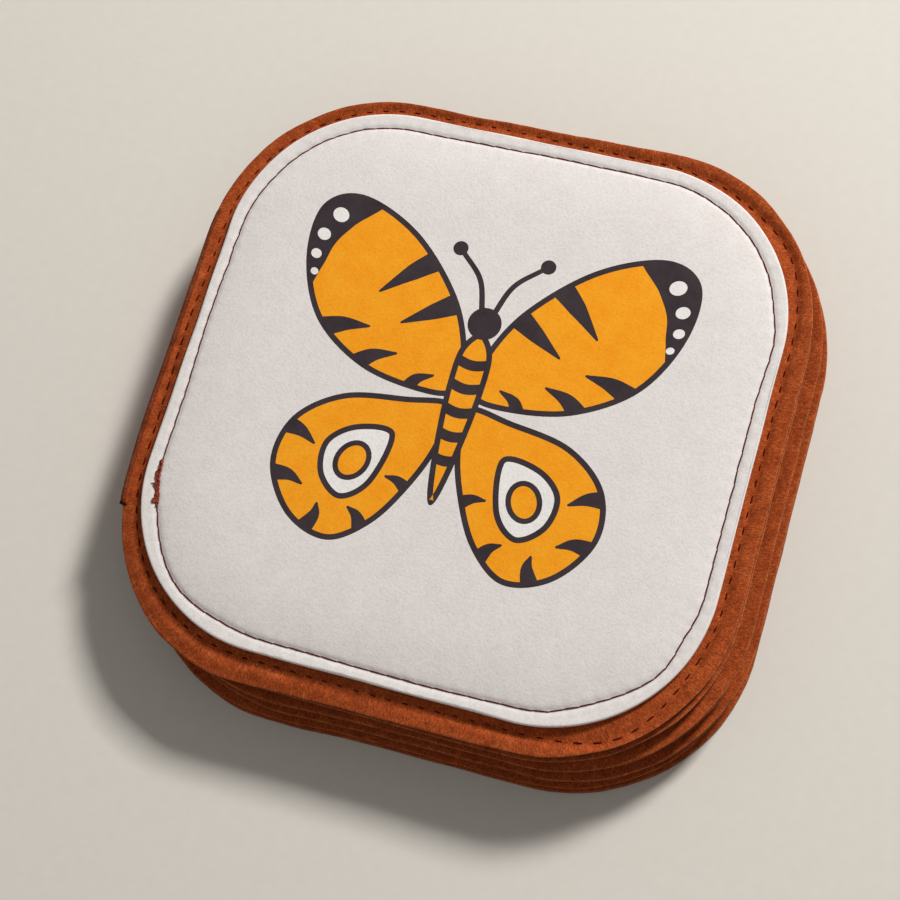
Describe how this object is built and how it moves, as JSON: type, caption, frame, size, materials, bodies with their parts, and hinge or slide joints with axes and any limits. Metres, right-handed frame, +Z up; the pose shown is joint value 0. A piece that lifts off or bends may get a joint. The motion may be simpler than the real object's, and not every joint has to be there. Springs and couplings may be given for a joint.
{
  "type": "cloth book",
  "caption": "Square felt book with large round corners, a padded white panel on its front cover, page leaves sewn to a short felt spine, and covers that fold open.",
  "frame": {"origin": "centre of the back cover's underside, on the surface that the closed book lies on", "axes": "+Z up through the closed pile, +X from the spine to the fore edge, +Y to the head of the page"},
  "size_m": [0.1664, 0.165, 0.0233],
  "materials": {
    "brown_felt": "brushed felt, matt",
    "white_plush": "short plush, matt",
    "padding": "polyester wadding",
    "sewing_thread": "twisted thread"
  },
  "bodies": {
    "back_cover": {"back_outer_felt": "brown_felt", "back_inner_felt": "brown_felt", "back_page_panel": "white_plush"},
    "spine": {"spine_felt": "brown_felt", "spine_lining": "brown_felt"},
    "leaf_2": {"leaf_2_lower_felt": "brown_felt", "leaf_2_upper_felt": "brown_felt", "leaf_2_lower_panel": "white_plush", "leaf_2_upper_panel": "white_plush"},
    "leaf_1": {"leaf_1_lower_felt": "brown_felt", "leaf_1_upper_felt": "brown_felt", "leaf_1_lower_panel": "white_plush", "leaf_1_upper_panel": "white_plush"},
    "front_cover": {"cover_page_panel": "white_plush", "cover_inner_felt": "brown_felt", "cover_outer_felt": "brown_felt", "cover_padding": "padding", "cover_panel": "white_plush"}
  },
  "joints": [
    {"name": "spine_fold", "type": "hinge", "parent": "back_cover", "child": "spine", "pos_m": [-0.08039, 0, 0.0016], "axis": [0, -1, 0], "range_deg": [0, 71]},
    {"name": "cover_fold", "type": "hinge", "parent": "spine", "child": "front_cover", "pos_m": [-0.085, 0, 0.0203], "axis": [0, -1, 0], "range_deg": [0, 109]},
    {"name": "leaf_1_turn", "type": "hinge", "parent": "spine", "child": "leaf_1", "pos_m": [-0.08126, 0, 0.0139], "axis": [0, -1, 0], "range_deg": [0, 82]},
    {"name": "leaf_2_turn", "type": "hinge", "parent": "spine", "child": "leaf_2", "pos_m": [-0.07941, 0, 0.0064], "axis": [0, -1, 0], "range_deg": [-54, 0]}
  ],
  "couplings": [
    {"joint": "leaf_1_turn", "follows": "cover_fold", "ratio": 0.75},
    {"joint": "leaf_2_turn", "follows": "spine_fold", "ratio": -0.75}
  ]
}
